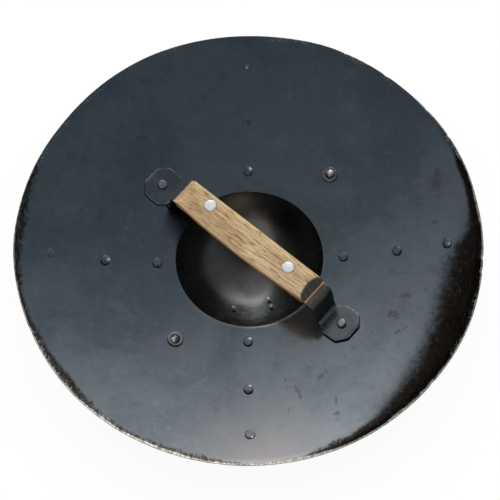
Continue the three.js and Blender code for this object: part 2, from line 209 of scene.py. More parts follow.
def plate_look(tree):
    at = place(tree)
    cloud = grain_noise(tree, at, 11, 5, 0.6, 0.6)
    haze = grain_noise(tree, at, 42, 6, 0.68)
    mottle = grain_noise(tree, at, 150, 4, 0.7, 0.4)
    tint = grain_noise(tree, at, 19, 4, 0.65)
    grit = grain_noise(tree, at, 420, 3, 0.6)
    fine = grain_noise(tree, at, 1500, 2, 0.5)
    colour = blend(tree, remap(tree, cloud, 0.38, 0.62), (0.064, 0.086, 0.111), (0.084, 0.108, 0.133))
    colour = blend(tree, remap(tree, tint, 0.52, 0.70, 0.0, 0.45), colour, (0.079, 0.095, 0.125))
    colour = blend(tree, remap(tree, haze, 0.54, 0.70, 0.0, 0.50), colour, (0.108, 0.128, 0.147))
    colour = blend(tree, remap(tree, haze, 0.45, 0.30, 0.0, 0.50), colour, (0.054, 0.066, 0.084))
    colour = blend(tree, remap(tree, mottle, 0.52, 0.70, 0.0, 0.40), colour, (0.108, 0.126, 0.142))
    colour = blend(tree, remap(tree, mottle, 0.47, 0.30, 0.0, 0.40), colour, (0.056, 0.068, 0.082))
    # painted reflection: paler and less blue towards the near rim, browner between the hole and the near foot
    pale = near_point(tree, at, *PAINTED_REFLECTION_BY_NEAR_RIM, 0.95)
    colour = blend(tree, maths(tree, "MULTIPLY", pale, 0.80), colour, (0.110, 0.115, 0.130))
    brown = near_point(tree, at, *PAINTED_BROWN_REFLECTION_BY_NEAR_FOOT, 0.8)
    dull = maths(tree, "MAXIMUM", brown, near_point(tree, at, *DULL_BY_FAR_FOOT, 0.85))
    colour = blend(tree, maths(tree, "MULTIPLY", brown, remap(tree, mottle, 0.35, 0.62, 0.2, 0.9)), colour,
                   (0.105, 0.082, 0.058))
    # dried smears with a paler border, and brown stains
    smudge = grain_noise(tree, at, 210, 5, 0.72, 1.2, (1.0, 0.5, 1.0))
    uneven = maths(tree, "SUBTRACT", maths(tree, "ADD", smudge, mottle), 1.0)
    marked = attribute(tree, "smear")
    smeared = maths(tree, "ADD", marked, maths(tree, "MULTIPLY", uneven, 1.15))
    outline = maths(tree, "MULTIPLY", remap(tree, smeared, 0.06, 0.22, 0.0, 0.7), marked, True)
    smear = maths(tree, "MULTIPLY", remap(tree, smeared, 0.20, 0.46), remap(tree, marked, 0.04, 0.2))
    colour = blend(tree, outline, colour, (0.125, 0.140, 0.152))
    colour = blend(tree, maths(tree, "MULTIPLY", smear, 0.60), colour, (0.034, 0.046, 0.063))
    stain = maths(tree, "MULTIPLY", attribute(tree, "stain"), remap(tree, haze, 0.34, 0.60), True)
    colour = blend(tree, stain, colour, (0.052, 0.048, 0.062))
    # pale scuffs from handling
    scuffs = grain_noise(tree, at, 70, 4, 0.7, 1.5, (1.0, 5.5, 1.0))
    scuff = maths(tree, "MULTIPLY", remap(tree, scuffs, 0.68, 0.78, 0.0, 0.6), remap(tree, cloud, 0.45, 0.65))
    colour = blend(tree, scuff, colour, (0.15, 0.17, 0.19))
    speck = remap(tree, grain_noise(tree, at, 900, 2, 0.5), 0.80, 0.84)
    colour = blend(tree, speck, colour, (0.26, 0.27, 0.28))
    # painted dark reflection in a band inside the rim: black and smooth on one side, broken and olive on the
    # other
    black = attribute(tree, "black")
    ragged = grain_noise(tree, at, 260, 4, 0.7)
    streaks = grain_noise(tree, at, 520, 4, 0.7, 0.3, (1.0, 0.35, 1.0))
    jagged = maths(tree, "ADD", maths(tree, "MULTIPLY", maths(tree, "SUBTRACT", ragged, 0.5), 2.6),
                   maths(tree, "MULTIPLY", maths(tree, "SUBTRACT", mottle, 0.5), 3.0))
    jagged = maths(tree, "MULTIPLY", jagged, remap(tree, black, 0.2, 1.0, 1.5, 0.62))
    painted_dark_reflection = remap(tree, maths(tree, "ADD", attribute(tree, "painted_dark_reflection"), jagged), -0.9, 1.1)
    gaps = maths(tree, "MULTIPLY", remap(tree, streaks, 0.47, 0.62), remap(tree, black, 0.9, 0.0, 0.10, 0.95))
    painted_dark_reflection = maths(tree, "MULTIPLY", painted_dark_reflection, maths(tree, "SUBTRACT", 1.0, gaps), True)
    dark_reflection_colour = blend(tree, black, (0.021, 0.022, 0.016), (0.0125, 0.0108, 0.0100))
    flecks = remap(tree, streaks, 0.57, 0.74, 0.0, 0.60)
    dark_reflection_colour = blend(tree, flecks, dark_reflection_colour, (0.080, 0.074, 0.066))
    colour = blend(tree, painted_dark_reflection, colour, dark_reflection_colour)
    # worn rim: bare bright steel at the very edge, with chips that reach inwards
    edge = attribute(tree, "edge")
    border = attribute(tree, "border")
    chips = maths(tree, "MULTIPLY", maths(tree, "SUBTRACT", ragged, 0.5), 1.7)
    bare = remap(tree, maths(tree, "ADD", maths(tree, "SUBTRACT", border, edge), chips), -0.25, 0.25)
    bare = maths(tree, "MAXIMUM", bare, remap(tree, edge, 0.35, 0.10))
    # a thin line along the hole's edge on the near right, lightened with the bare steel's colours
    lip = maths(tree, "MULTIPLY", attribute(tree, "lip"), remap(tree, ragged, 0.34, 0.50, 0.35, 1.0))
    worn_and_painted_light = maths(tree, "MULTIPLY", attribute(tree, "wear_and_glint"),
                 remap(tree, grain_noise(tree, at, 620, 5, 0.75), 0.52, 0.60), True)
    metal = maths(tree, "MAXIMUM", maths(tree, "MAXIMUM", bare, lip), worn_and_painted_light)
    bare_colour = blend(tree, remap(tree, streaks, 0.36, 0.62), (0.15, 0.165, 0.17), (0.50, 0.53, 0.54))
    groove = maths(tree, "MULTIPLY", remap(tree, edge, 0.9, 1.2), remap(tree, edge, 1.8, 1.4))
    groove = maths(tree, "MULTIPLY", groove, remap(tree, mottle, 0.40, 0.55, 0.0, 0.8))
    bare_colour = blend(tree, groove, bare_colour, (0.06, 0.055, 0.05))
    rim_line = maths(tree, "MULTIPLY", remap(tree, edge, 0.42, 0.18),
                     remap(tree, ragged, 0.35, 0.6, 0.9, 0.4))
    bare_colour = blend(tree, rim_line, bare_colour, (0.085, 0.085, 0.085))
    colour = blend(tree, metal, colour, bare_colour)
    rough = remap(tree, haze, 0.3, 0.7, 0.085, 0.135)
    marks = maths(tree, "MAXIMUM", maths(tree, "MAXIMUM", smear, stain), painted_dark_reflection)
    rough = maths(tree, "ADD", rough, maths(tree, "MULTIPLY", marks, 0.08))
    rough = maths(tree, "ADD", rough, maths(tree, "MULTIPLY", metal, 0.22))
    rough = maths(tree, "ADD", rough, maths(tree, "MULTIPLY", dull, 0.26))
    height = maths(tree, "ADD", maths(tree, "MULTIPLY", grit, 0.4), maths(tree, "MULTIPLY", fine, 0.12))
    height = maths(tree, "ADD", height, maths(tree, "MULTIPLY", mottle, 0.7))
    height = maths(tree, "SUBTRACT", height, maths(tree, "MULTIPLY", metal, 0.8))
    return {"Base Color": colour, "Metallic": 1.0, "Roughness": rough,
            "Normal": bump(tree, height, 0.00003)}


# Pits in the boss's near wall, each painted near black with a painted highlight beside it: x, y and radius in
# millimetres.
PITS = [(-14, -29, 2.4), (15, -20, 2.1), (17, -28, 2.3), (-3, -37, 0.9), (9, -33, 0.8)]


def boss_look(tree):
    at = place(tree)
    cloud = grain_noise(tree, at, 22, 5, 0.6, 0.5)
    haze = grain_noise(tree, at, 85, 5, 0.65)
    grit = grain_noise(tree, at, 700, 3, 0.6)
    colour = blend(tree, remap(tree, cloud, 0.35, 0.68), (0.060, 0.061, 0.063), (0.088, 0.089, 0.090))
    colour = blend(tree, remap(tree, haze, 0.56, 0.75, 0.0, 0.5), colour, (0.120, 0.116, 0.108))
    # painted light: a grey glow and a highlight on the near wall, a brown sheen on the far wall, and painted
    # shade on its right
    painted_glow = near_point(tree, at, *PAINTED_GLOW_NEAR_WALL, 0.95)
    bright = near_point(tree, at, *PAINTED_HIGHLIGHT_NEAR_WALL, 0.95)
    painted_sheen = near_point(tree, at, *PAINTED_SHEEN_FAR_WALL, 0.9)
    worn_and_painted_light = maths(tree, "MULTIPLY", painted_glow, 0.56)
    worn_and_painted_light = maths(tree, "ADD", worn_and_painted_light, maths(tree, "MULTIPLY", bright, 0.16), True)
    worn_and_painted_light = maths(tree, "MULTIPLY", worn_and_painted_light, remap(tree, haze, 0.32, 0.62, 0.55, 1.0), True)
    shaded = near_point(tree, at, *PAINTED_SHADE_FAR_WALL, 0.9)
    colour = blend(tree, maths(tree, "MULTIPLY", shaded, 0.85), colour, (0.020, 0.020, 0.020))
    colour = blend(tree, worn_and_painted_light, colour, (0.29, 0.33, 0.36))
    colour = blend(tree, maths(tree, "MULTIPLY", painted_sheen, remap(tree, cloud, 0.35, 0.60, 0.3, 0.9)), colour,
                   (0.190, 0.165, 0.105))
    hole = glint = None
    for x, y, radius in PITS:
        wall = dome_centre - math.sqrt(DOME_RADIUS**2 - x * x - y * y)
        pit = near_point(tree, at, (x, y, wall), radius, 0.4)
        beside = (x - 0.2 * radius, y + 1.9 * radius, wall - 0.9 * radius)
        spark = near_point(tree, at, beside, 0.75 * radius, 0.5)
        hole = pit if hole is None else maths(tree, "MAXIMUM", hole, pit)
        glint = spark if glint is None else maths(tree, "MAXIMUM", glint, spark)
    # pits painted near black, each with a painted highlight beside it
    colour = blend(tree, hole, colour, (0.008, 0.007, 0.006))
    colour = blend(tree, maths(tree, "MULTIPLY", glint, 0.95), colour, (0.85, 0.86, 0.87))
    rough = maths(tree, "ADD", remap(tree, haze, 0.3, 0.7, 0.20, 0.30), maths(tree, "MULTIPLY", hole, 0.5))
    height = maths(tree, "SUBTRACT", maths(tree, "MULTIPLY", grit, 0.05), maths(tree, "MULTIPLY", hole, 0.25))
    soft = maths(tree, "MAXIMUM", worn_and_painted_light, maths(tree, "MULTIPLY", painted_sheen, 0.5))
    return {"Base Color": colour, "Metallic": remap(tree, soft, 0.0, 1.0, 0.92, 0.30), "Roughness": rough,
            "Specular IOR Level": 0.4, "Normal": bump(tree, height, 0.0003)}


def strap_look(tree):
    at = place(tree)
    haze = grain_noise(tree, at, 60, 5, 0.6)
    grit = grain_noise(tree, at, 520, 4, 0.65)
    colour = blend(tree, remap(tree, haze, 0.35, 0.7), (0.056, 0.071, 0.089), (0.080, 0.097, 0.117))
    # the near bend is browner and duller
    bend = near_point(tree, at, *NEAR_BEND, 0.5)
    brown = blend(tree, remap(tree, haze, 0.35, 0.65), (0.060, 0.058, 0.052), (0.110, 0.108, 0.098))
    colour = blend(tree, bend, colour, brown)
    worn_and_painted_light = maths(tree, "MULTIPLY", attribute(tree, "wear_and_glint"), remap(tree, grit, 0.40, 0.62), True)
    colour = blend(tree, worn_and_painted_light, colour, (0.20, 0.22, 0.24))
    rough = maths(tree, "ADD", remap(tree, grit, 0.3, 0.7, 0.20, 0.32), maths(tree, "MULTIPLY", bend, 0.15))
    return {"Base Color": colour, "Metallic": 1.0, "Roughness": rough,
            "Normal": bump(tree, grit, 0.00003)}


def rivet_look(tree):
    at = place(tree)
    haze = grain_noise(tree, at, 300, 4, 0.6)
    grit = grain_noise(tree, at, 900, 3, 0.65)
    colour = blend(tree, remap(tree, haze, 0.35, 0.68), (0.058, 0.073, 0.090), (0.092, 0.110, 0.130))
    worn_and_painted_light = maths(tree, "MULTIPLY", attribute(tree, "wear_and_glint"), remap(tree, grit, 0.30, 0.55, 0.65, 1.0), True)
    # painted highlights on the heads, and light rubbing on the strap rivets' tops, drawn near white
    colour = blend(tree, worn_and_painted_light, colour, (0.90, 0.91, 0.92))
    metallic = maths(tree, "SUBTRACT", 1.0, maths(tree, "MULTIPLY", worn_and_painted_light, 0.55))
    return {"Base Color": colour, "Metallic": metallic, "Roughness": remap(tree, grit, 0.3, 0.7, 0.20, 0.34),
            "Normal": bump(tree, haze, 0.00012)}


def washer_look(tree):
    at = place(tree)
    haze = grain_noise(tree, at, 240, 4, 0.6)
    grit = grain_noise(tree, at, 800, 3, 0.65)
    colour = blend(tree, remap(tree, haze, 0.38, 0.64), (0.088, 0.100, 0.112), (0.118, 0.130, 0.142))
    worn_and_painted_light = maths(tree, "MULTIPLY", attribute(tree, "wear_and_glint"), remap(tree, grit, 0.40, 0.60), True)
    colour = blend(tree, worn_and_painted_light, colour, (0.34, 0.36, 0.37))
    return {"Base Color": colour, "Metallic": 1.0, "Roughness": remap(tree, grit, 0.3, 0.7, 0.22, 0.36),
            "Normal": bump(tree, grit, 0.00004)}


def aluminium_look(tree):
    at = place(tree)
    hammered = grain_noise(tree, at, 620, 4, 0.6)
    grit = grain_noise(tree, at, 1200, 3, 0.6)
    colour = blend(tree, remap(tree, hammered, 0.3, 0.62), (0.58, 0.65, 0.70), (0.84, 0.92, 0.97))
    colour = blend(tree, maths(tree, "MULTIPLY", attribute(tree, "wear_and_glint"), 0.75), colour, (0.20, 0.18, 0.15))
    return {"Base Color": colour, "Metallic": 0.85, "Roughness": remap(tree, grit, 0.3, 0.7, 0.30, 0.46),
            "Normal": bump(tree, hammered, 0.0004)}


def wood_look(tree):
    grain = attribute(tree, "grain", "Vector")
    broad = grain_noise(tree, grain, 150, 3, 0.55, 0.9, (0.12, 1.0, 0.8))
    streaks = grain_noise(tree, grain, 700, 4, 0.72, 0.5, (0.055, 1.0, 0.8))
    fibres = grain_noise(tree, grain, 1500, 4, 0.72, 0.2, (0.055, 1.0, 0.9))
    pores = grain_noise(tree, grain, 1150, 3, 0.62, 0.3, (0.09, 1.0, 1.0))
    drift = grain_noise(tree, grain, 40, 4, 0.65, 0.4, (0.5, 1.0, 1.0))
    colour = blend(tree, remap(tree, broad, 0.33, 0.66), (0.37, 0.235, 0.110), (0.585, 0.430, 0.228))
    colour = blend(tree, remap(tree, drift, 0.50, 0.66, 0.0, 0.55), colour, (0.47, 0.375, 0.270))
    colour = blend(tree, remap(tree, streaks, 0.50, 0.62, 0.0, 0.80), colour, (0.27, 0.155, 0.065))
    colour = blend(tree, remap(tree, fibres, 0.50, 0.68, 0.0, 0.65), colour, (0.76, 0.64, 0.42))
    colour = blend(tree, remap(tree, fibres, 0.46, 0.34, 0.0, 0.45), colour, (0.30, 0.18, 0.085))
    colour = blend(tree, remap(tree, pores, 0.54, 0.63, 0.0, 0.88), colour, (0.13, 0.066, 0.027))
    # orange side faces darkened as painted shade, most on the near side, with a bare orange line at the
    # blackened end; pale rubbed edges; and one end blackened by the strap
    colour = blend(tree, attribute(tree, "side"), colour, (0.45, 0.205, 0.060))
    colour = blend(tree, maths(tree, "MULTIPLY", attribute(tree, "rub"), 0.8), colour, (0.78, 0.62, 0.38))
    soot = maths(tree, "MULTIPLY", attribute(tree, "soot"), remap(tree, streaks, 0.25, 0.55, 0.93, 1.0), True)
    colour = blend(tree, soot, colour, blend(tree, broad, (0.024, 0.021, 0.018), (0.045, 0.042, 0.038)))
    relief = maths(tree, "SUBTRACT", maths(tree, "MULTIPLY", fibres, 0.5),
                   maths(tree, "MULTIPLY", remap(tree, pores, 0.60, 0.70), 0.8))
    return {"Base Color": colour, "Roughness": remap(tree, streaks, 0.3, 0.7, 0.52, 0.68),
            "Specular IOR Level": 0.35, "Normal": bump(tree, relief, 0.00018)}


LOOKS = {
    "plate_steel": finish_material("blackened_plate_steel", plate_look),
    "boss_steel": finish_material("blackened_boss_steel", boss_look),
    "strap_steel": finish_material("satin_strap_steel", strap_look),
    "rivet_steel": finish_material("rivet_steel", rivet_look),
    "washer_steel": finish_material("washer_steel", washer_look),
    "grip_rivet_aluminium": finish_material("hammered_aluminium", aluminium_look),
    "grip_wood": finish_material("oiled_wood", wood_look),
}

# ---------- mesh helpers ----------


def make_piece(name, vertices, faces, slot, replaced, layers=None, sharp=32):
    """A piece of the object, from millimetres, that stands for the CAD nodes replaced."""
    mesh = bpy.data.meshes.new(name)
    mesh.from_pydata((np.array(vertices, float) * MM).tolist(), [], faces)
    for layer, values in (layers or {}).items():
        values = np.array(values, np.float32)
        if values.ndim == 2:
            made = mesh.attributes.new(layer, "FLOAT_VECTOR", "POINT")
            made.data.foreach_set("vector", (values * MM).ravel())
        else:
            made = mesh.attributes.new(layer, "FLOAT", "POINT")
            made.data.foreach_set("value", values)
    mesh.shade_smooth()
    mesh.set_sharp_from_angle(angle=math.radians(sharp))
    mesh.materials.append(LOOKS[slot])
    piece = bpy.data.objects.new(name, mesh)
    bpy.context.scene.collection.objects.link(piece)
    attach(piece, "root")
    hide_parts(*replaced)
    return piece


def ring_faces(rows, columns, close_rows=False):
    """Quads between rows of points that each run round and close. Row 0 first, counter-clockwise."""
    faces = []
    for i in range(rows if close_rows else rows - 1):
        low, high = i * columns, (i + 1) % rows * columns
        for j in range(columns):
            k = (j + 1) % columns
            faces.append((low + j, low + k, high + k, high + j))
    return faces


# ---------- plate ----------

# Where the rim was beaten out or in: degrees round from +X, millimetres, width in degrees.
RIM_WANDER = [(-25, 0.8, 12), (180, 0.9, 10), (115, 0.7, 12), (70, 0.7, 9), (-110, -0.5, 12),
              (145, -0.7, 10), (45, -0.6, 9), (10, -0.5, 7), (-65, 0.5, 14), (-150, -0.3, 10)]
NICKS = [(-5.5, 0.9, 0.5), (-9.0, 0.7, 0.45), (-41.0, 0.6, 0.5), (38.0, 0.5, 0.6), (52.0, 0.5, 0.8),
         (64.0, 0.4, 0.5), (-128.0, 0.5, 0.6), (-98.0, 0.5, 0.5), (203.0, 0.5, 0.7), (29.0, 0.5, 0.5)]
# How far the band of painted dark reflection reaches in from the rim: degrees round from +X, millimetres.
PAINTED_DARK_REACH = [(-180, 7), (-170, 4), (-162, 3.5), (-156, 6), (-150, 6.5), (-142, 8.5), (-134, 6.5),
            (-128, 4.5), (-118, 4.5), (-110, 5.5), (-102, 5.5), (-95, 3), (-90, 1), (-79, -2), (-75, 6),
            (-69, 9), (-65, 8), (-60, 10), (-56, 12), (-47, 18), (-38, 23), (-28, 28), (-18, 32),
            (-10, 30), (-5, 27), (-1, 23), (3, 12), (8, 8), (14, 6.5), (20, 6.5), (23, 5), (26, -1),
            (40, -6), (140, -6), (152, 0), (160, 4), (172, 8), (180, 7)]
# How black it is, and how soft its inner border is, in millimetres.
BLACKNESS = [(-180, 0.3), (-160, 0.6), (-138, 0.65), (-126, 0.1), (-72, 0.15), (-62, 0.75), (-56, 1),
             (24, 1), (30, 0.6), (150, 0.1), (180, 0.15)]
BORDER_SOFTNESS = [(-180, 1.8), (-62, 1.5), (-54, 3.5), (-40, 8), (-8, 9), (1, 6), (8, 1.5), (180, 1.8)]
# Width of the strip of bare steel along the rim.
BARE_STRIP = [(-180, 1.2), (-160, 1.4), (-120, 2.1), (-60, 2.2), (-20, 1.7), (0, 1.5), (15, 1.9),
              (24, 2.3), (30, 1.1), (90, 0.2), (150, 0.5), (180, 1.2)]
# Dried smears and stains on the hollow face: x, y, half length, half width, turn, strength.
SMEARS = [(123, -42, 11, 5, 12, 0.55), (116, -58, 8, 4.5, -20, 0.5), (121, -72, 13, 1.8, 32, 0.5),
          (98, -71, 4, 2.5, 10, 0.45), (67, -131, 1.6, 8, 0, 0.6), (67.5, -143, 3.4, 3.0, 0, 0.7),
          (37, -121, 3, 10, 25, 0.55), (30, -136, 1.6, 9, -12, 0.5), (57, -107, 8, 2.0, 50, 0.55),
          (47, -100, 7, 2.2, 70, 0.45), (29, -111, 4, 3, 0, 0.45), (151, 20, 3.2, 2.8, 0, 0.6),
          (128, -22, 6, 2.4, -30, 0.3), (142, -38, 4, 1.8, 40, 0.35), (105, -88, 4, 1.4, 60, 0.35),
          (-6, -122, 3, 1.4, 20, 0.3), (131, -60, 3, 2, 0, 0.4), (-85, 105, 12, 7, 20, 0.28),
          (-110, 60, 10, 6, 60, 0.25), (80, -95, 9, 5, 30, 0.25), (154, 62, 4, 7, -20, 0.35)]
STAINS = [(155, 53, 7, 10, -20, 0.8), (150, 36, 6, 5, 0, 0.35), (119, -50, 16, 10, 25, 0.35),
          (60, -112, 22, 9, 25, 0.22), (-93, 88, 26, 16, 30, 0.25), (138, -55, 12, 14, 0, 0.25)]


def spots(x, y, marks):
    """How strongly the marks cover a point of the hollow face."""
    total = 0.0
    for mark_x, mark_y, length, width, turn, strength in marks:
        dx, dy = x - mark_x, y - mark_y
        if abs(dx) + abs(dy) < 4 * (length + width):
            c, s = math.cos(math.radians(turn)), math.sin(math.radians(turn))
            along, across = (dx * c + dy * s) / length, (dy * c - dx * s) / width
            total = max(total, strength * math.exp(-1.2 * (along * along + across * across)))
    return total


def round_angle(angle, centre):
    """Degrees from centre to an angle in radians, between -180 and 180."""
    return (math.degrees(angle) - centre + 180) % 360 - 180


def by_angle(table, angle):
    turn = (math.degrees(angle) + 180) % 360 - 180
    return float(np.interp(turn, *zip(*table)))


def rim_inset(angle):
    """How far inside the plate's full radius the rim lies, in millimetres."""
    inset = 1.0 + 0.12 * wave(6 * math.cos(angle), 6 * math.sin(angle), 0, 3)
    inset -= sum(size * math.exp(-(round_angle(angle, at) / width) ** 2) for at, size, width in RIM_WANDER)
    inset += sum(deep * math.exp(-(round_angle(angle, at) / width) ** 2) for at, deep, width in NICKS)
    return max(0.02, inset)


def unevenness(x, y, distance):
    """The hand-beaten sheet's height off a true sphere, in millimetres."""
    calm = step(distance, 80, 125)
    broad = 0.20 * wave(x / 78, y / 78, 0, 1) + 0.045 * wave(x / 27, y / 27, 0, 2)
    return broad * (0.35 + 0.65 * calm)


def plate_profile():
    """[(distance, depth)] round the sheet's section: hollow face, rim, front face, hole."""
    inner = [HOLE_RADIUS + 0.6 + (PLATE_RADIUS - 12.6 - HOLE_RADIUS) * i / 58 for i in range(59)]
    inner += [PLATE_RADIUS - 11 + 10.4 * (i / 13) for i in range(14)]
    rim = [(PLATE_RADIUS - 0.22, 0.04), (PLATE_RADIUS, 0.3), (PLATE_RADIUS, 0.8),
           (PLATE_RADIUS, PLATE_THICKNESS - 0.3), (PLATE_RADIUS - 0.25, PLATE_THICKNESS - 0.03)]
    outer = [PLATE_RADIUS - 0.8 - (PLATE_RADIUS - 1.8 - HOLE_RADIUS) * i / 30 for i in range(31)]
    hole = [(HOLE_RADIUS + 0.3, PLATE_THICKNESS), (HOLE_RADIUS, PLATE_THICKNESS - 0.3),
            (HOLE_RADIUS, 0.35), (HOLE_RADIUS + 0.25, 0.05)]
    return [(d, 0.0) for d in inner] + rim + [(d, PLATE_THICKNESS) for d in outer] + hole


def make_plate():
    columns = 720
    profile = plate_profile()
    angles = [2 * math.pi * j / columns for j in range(columns)]
    around = [(a, rim_inset(a), by_angle(PAINTED_DARK_REACH, a), by_angle(BLACKNESS, a), by_angle(BORDER_SOFTNESS, a),
               by_angle(BARE_STRIP, a), math.exp(-(round_angle(a, -64) / 22) ** 2)) for a in angles]
    names = ("edge", "border", "painted_dark_reflection", "black", "lip", "wear_and_glint", "smear", "stain")
    vertices, layers = [], {name: [] for name in names}
    for distance, depth in profile:
        pull = step(distance, PLATE_RADIUS - 9, PLATE_RADIUS)
        inside = depth < 0.35
        for angle, inset, reach, blackness, softness, strip, lip in around:
            r = distance - inset * pull
            x, y = r * math.cos(angle), r * math.sin(angle)
            from_rim = PLATE_RADIUS - inset - r
            curl = 0.016 * max(0.0, 7.0 - from_rim) ** 2 * (0.55 + 0.8 * wave(3 * x / 190, 3 * y / 190, 0, 5))
            z = dish_height(r, depth) + unevenness(x, y, r) + curl
            vertices.append((x, y, z))
            outer = distance > 185
            values = (
                max(0.0, from_rim) if inside else (0.0 if outer and depth < 1.5 else 30.0),
                strip * (0.8 + 0.5 * wave(10 * x / 190, 10 * y / 190, 0, 12)),
                max(-4.0, min(4.0, (reach - from_rim) / softness)) if inside else -4.0,
                blackness,
                lip * step(r, HOLE_RADIUS + 1.3, HOLE_RADIUS + 0.5) if depth < 1 else 0.0,
                0.9 * step(from_rim, 5.0, 1.0) * step(wave(7 * x / 190, 7 * y / 190, 0, 9), -0.1, 0.3),
                spots(x, y, SMEARS) if depth == 0.0 else 0.0,
                spots(x, y, STAINS) if depth == 0.0 else 0.0,
            )
            for name, value in zip(names, values):
                layers[name].append(value)
    faces = ring_faces(len(profile), columns, close_rows=True)
    faces = [f[::-1] for f in faces]
    return make_piece("dished_plate", vertices, faces, "plate_steel", ["plate"], layers, 50)


# ---------- boss ----------


def boss_faces():
    """The hollow face from the flange's edge inwards: [(distance, height, normal)]."""
    face = []
    for i in range(13):
        r = FLANGE_RADIUS - (FLANGE_RADIUS - FLANGE_BEND_RADIUS) * i / 12
        z = dish_centre - math.sqrt(flange_face**2 - r * r)
        face.append((r, z, (-r, dish_centre - z)))
    start, end = (face[-1][0], face[-1][1]), (DOME_MOUTH_RADIUS, dome_mouth)
    corner = (DOME_MOUTH_RADIUS + BEND_CORNER, start[1])
    for i in range(1, 12):
        t = i / 12
        at = [(1 - t) ** 2 * start[k] + 2 * t * (1 - t) * corner[k] + t * t * end[k] for k in (0, 1)]
        slope = [(1 - t) * (corner[k] - start[k]) + t * (end[k] - corner[k]) for k in (0, 1)]
        face.append((at[0], at[1], (slope[1], -slope[0])))
    mouth = math.asin(DOME_MOUTH_RADIUS / DOME_RADIUS)
    for i in range(49):
        angle = mouth * (1 - i / 49)
        r = DOME_RADIUS * math.sin(angle)
        z = dome_centre - DOME_RADIUS * math.cos(angle)
        face.append((r, z, (-math.sin(angle), math.cos(angle))))
    return face


def make_boss():
    columns = 192
    inside, outside = [], []
    for r, z, normal in boss_faces():
        size = math.hypot(*normal)
        back = (r - PLATE_THICKNESS * normal[0] / size, z - PLATE_THICKNESS * normal[1] / size)
        floor = 0.5 * (z + 1.5 + math.sqrt((z - 1.5) ** 2 + 0.8))
        inside.append((r, floor if r < 40 else z))
        outside.append((back[0], max(0.0, back[1])))
    rows = inside + [(0.4, inside[-1][1]), (0.4, 0.0)] + outside[::-1]
    vertices = []
    for r, z in rows:
        for j in range(columns):
            angle = 2 * math.pi * j / columns
            x, y = r * math.cos(angle), r * math.sin(angle)
            dent = 0.10 * wave(x / 21, y / 21, z / 21, 4) * step(z, 1.0, 12.0) if z < 44 else 0.0
            vertices.append((x * (1 + dent / 62), y * (1 + dent / 62), z + 0.4 * dent))
    return make_piece("hollow_boss", vertices, ring_faces(len(rows), columns, True), "boss_steel", ["boss"],
                      None, 60)


# ---------- rivets and washers ----------

dish_middle = np.array([0.0, 0.0, dish_centre])


def node_middle(node):
    low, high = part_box(node)
    return np.array((low + high) / 2) / MM


def dish_axes(node):
    """The point of the hollow face under a rivet, and axes there whose third is the normal."""
    away = node_middle(node) - dish_middle
    normal = -away / np.linalg.norm(away)
    at = dish_middle - DISH_RADIUS * normal
    side = np.cross([0.0, 1.0, 0.0], normal)
    side /= np.linalg.norm(side)
    return at, np.array([side, np.cross(normal, side), normal])


def turned(profile, columns, seed, wobble=0.0, lean=0.0):
    """Points of a [radius, height] profile turned about the third axis, slightly out of true."""
    points = []
    for r, z in profile:
        for j in range(columns):
            angle = 2 * math.pi * j / columns
            c, s = math.cos(angle), math.sin(angle)
            swell = 1 + wobble * wave(1.3 * c, 1.3 * s, z / 6, seed)
            tilt = lean * r * c if z > 0 else 0.0
            points.append((r * c * swell, r * s * swell, z + tilt))
    return points


def flat_head(radius, height):
    """A hammered head, from its foot up to the middle of its top."""
    return [(radius * 0.97, -0.15), (radius, height * 0.25), (radius, height * 0.62),
            (radius * 0.965, height * 0.83), (radius * 0.90, height * 0.95), (radius * 0.80, height),
            (radius * 0.45, height * 1.02), (0.05, height * 1.03)]


def domed_head(radius, height):
    return [(radius, -0.1)] + [
        (radius * math.cos(math.pi / 2 * i / 9), height * math.sin(math.pi / 2 * i / 9)) for i in range(9)
    ] + [(0.05, height)]


def rivet_profile(head, head_base, stud, stud_base, shank=2.2):
    """From the middle of the front stud, up the shank, to the middle of the head."""
    lower = [(r, stud_base - z) for r, z in stud[::-1]]
    return lower + [(shank, stud_base), (shank, head_base)] + [(r, head_base + z) for r, z in head]


def make_turned(name, node, profile, slot, seed, wobble=0.05, lean=0.0, wear_and_glint=None, columns=40):
    at, axes = dish_axes(node)
    points = turned(profile, columns, seed, wobble, lean)
    vertices = [at + np.array(p) @ axes for p in points]
    worn_and_painted_light = []
    for x, y, z in points:
        patch = step(wave(x / 2.6, y / 2.6, 0, seed + 30), 0.05, 0.45)
        worn_and_painted_light.append((wear_and_glint(x, y, z) if wear_and_glint else 0.0) * (0.7 + 0.3 * patch))
    faces = ring_faces(len(profile), columns)
    return make_piece(name, vertices, faces, slot, [node], {"wear_and_glint": worn_and_painted_light}, 48)


def glint_at(turn, radius, size, strength=1.0):
    """A painted highlight in a spot on a head, kept with the wear: its direction in degrees and its distance
    from the middle.
    """
    x0, y0 = radius * math.cos(math.radians(turn)), radius * math.sin(math.radians(turn))
    return lambda x, y, z: strength * math.exp(-((x - x0) ** 2 + (y - y0) ** 2) / size**2) if z > 0 else 0.0


# Radius and height of the three kinds of flat head, and each arm rivet's head and painted highlight.
RAISED, LOW, FLUSH = (3.9, 1.9), (4.2, 0.9), (3.4, 0.35)
ARM_RIVETS = {
    "right_inner": (RAISED, None), "right_middle": (RAISED, None),
    "right_outer": (RAISED, glint_at(-30, 3.2, 1.6, 0.4)),
    "far_inner": (RAISED, glint_at(40, 2.9, 1.2)), "far_middle": (FLUSH, None),
    "far_outer": (FLUSH, glint_at(80, 0.6, 0.9, 0.7)),
    "left_inner": (RAISED, None), "left_middle": (RAISED, glint_at(5, 2.9, 1.3)), "left_outer": (FLUSH, None),
    "near_inner": (RAISED, glint_at(48, 3.2, 1.1)), "near_middle": (RAISED, glint_at(60, 3.2, 0.9, 0.6)),
    "near_outer": (LOW, glint_at(-60, 3.9, 1.0, 0.9)),
}


def stud_base(through_boss):
    sheets = 2 * PLATE_THICKNESS + CLEARANCE if through_boss else PLATE_THICKNESS
    return -sheets - 0.1


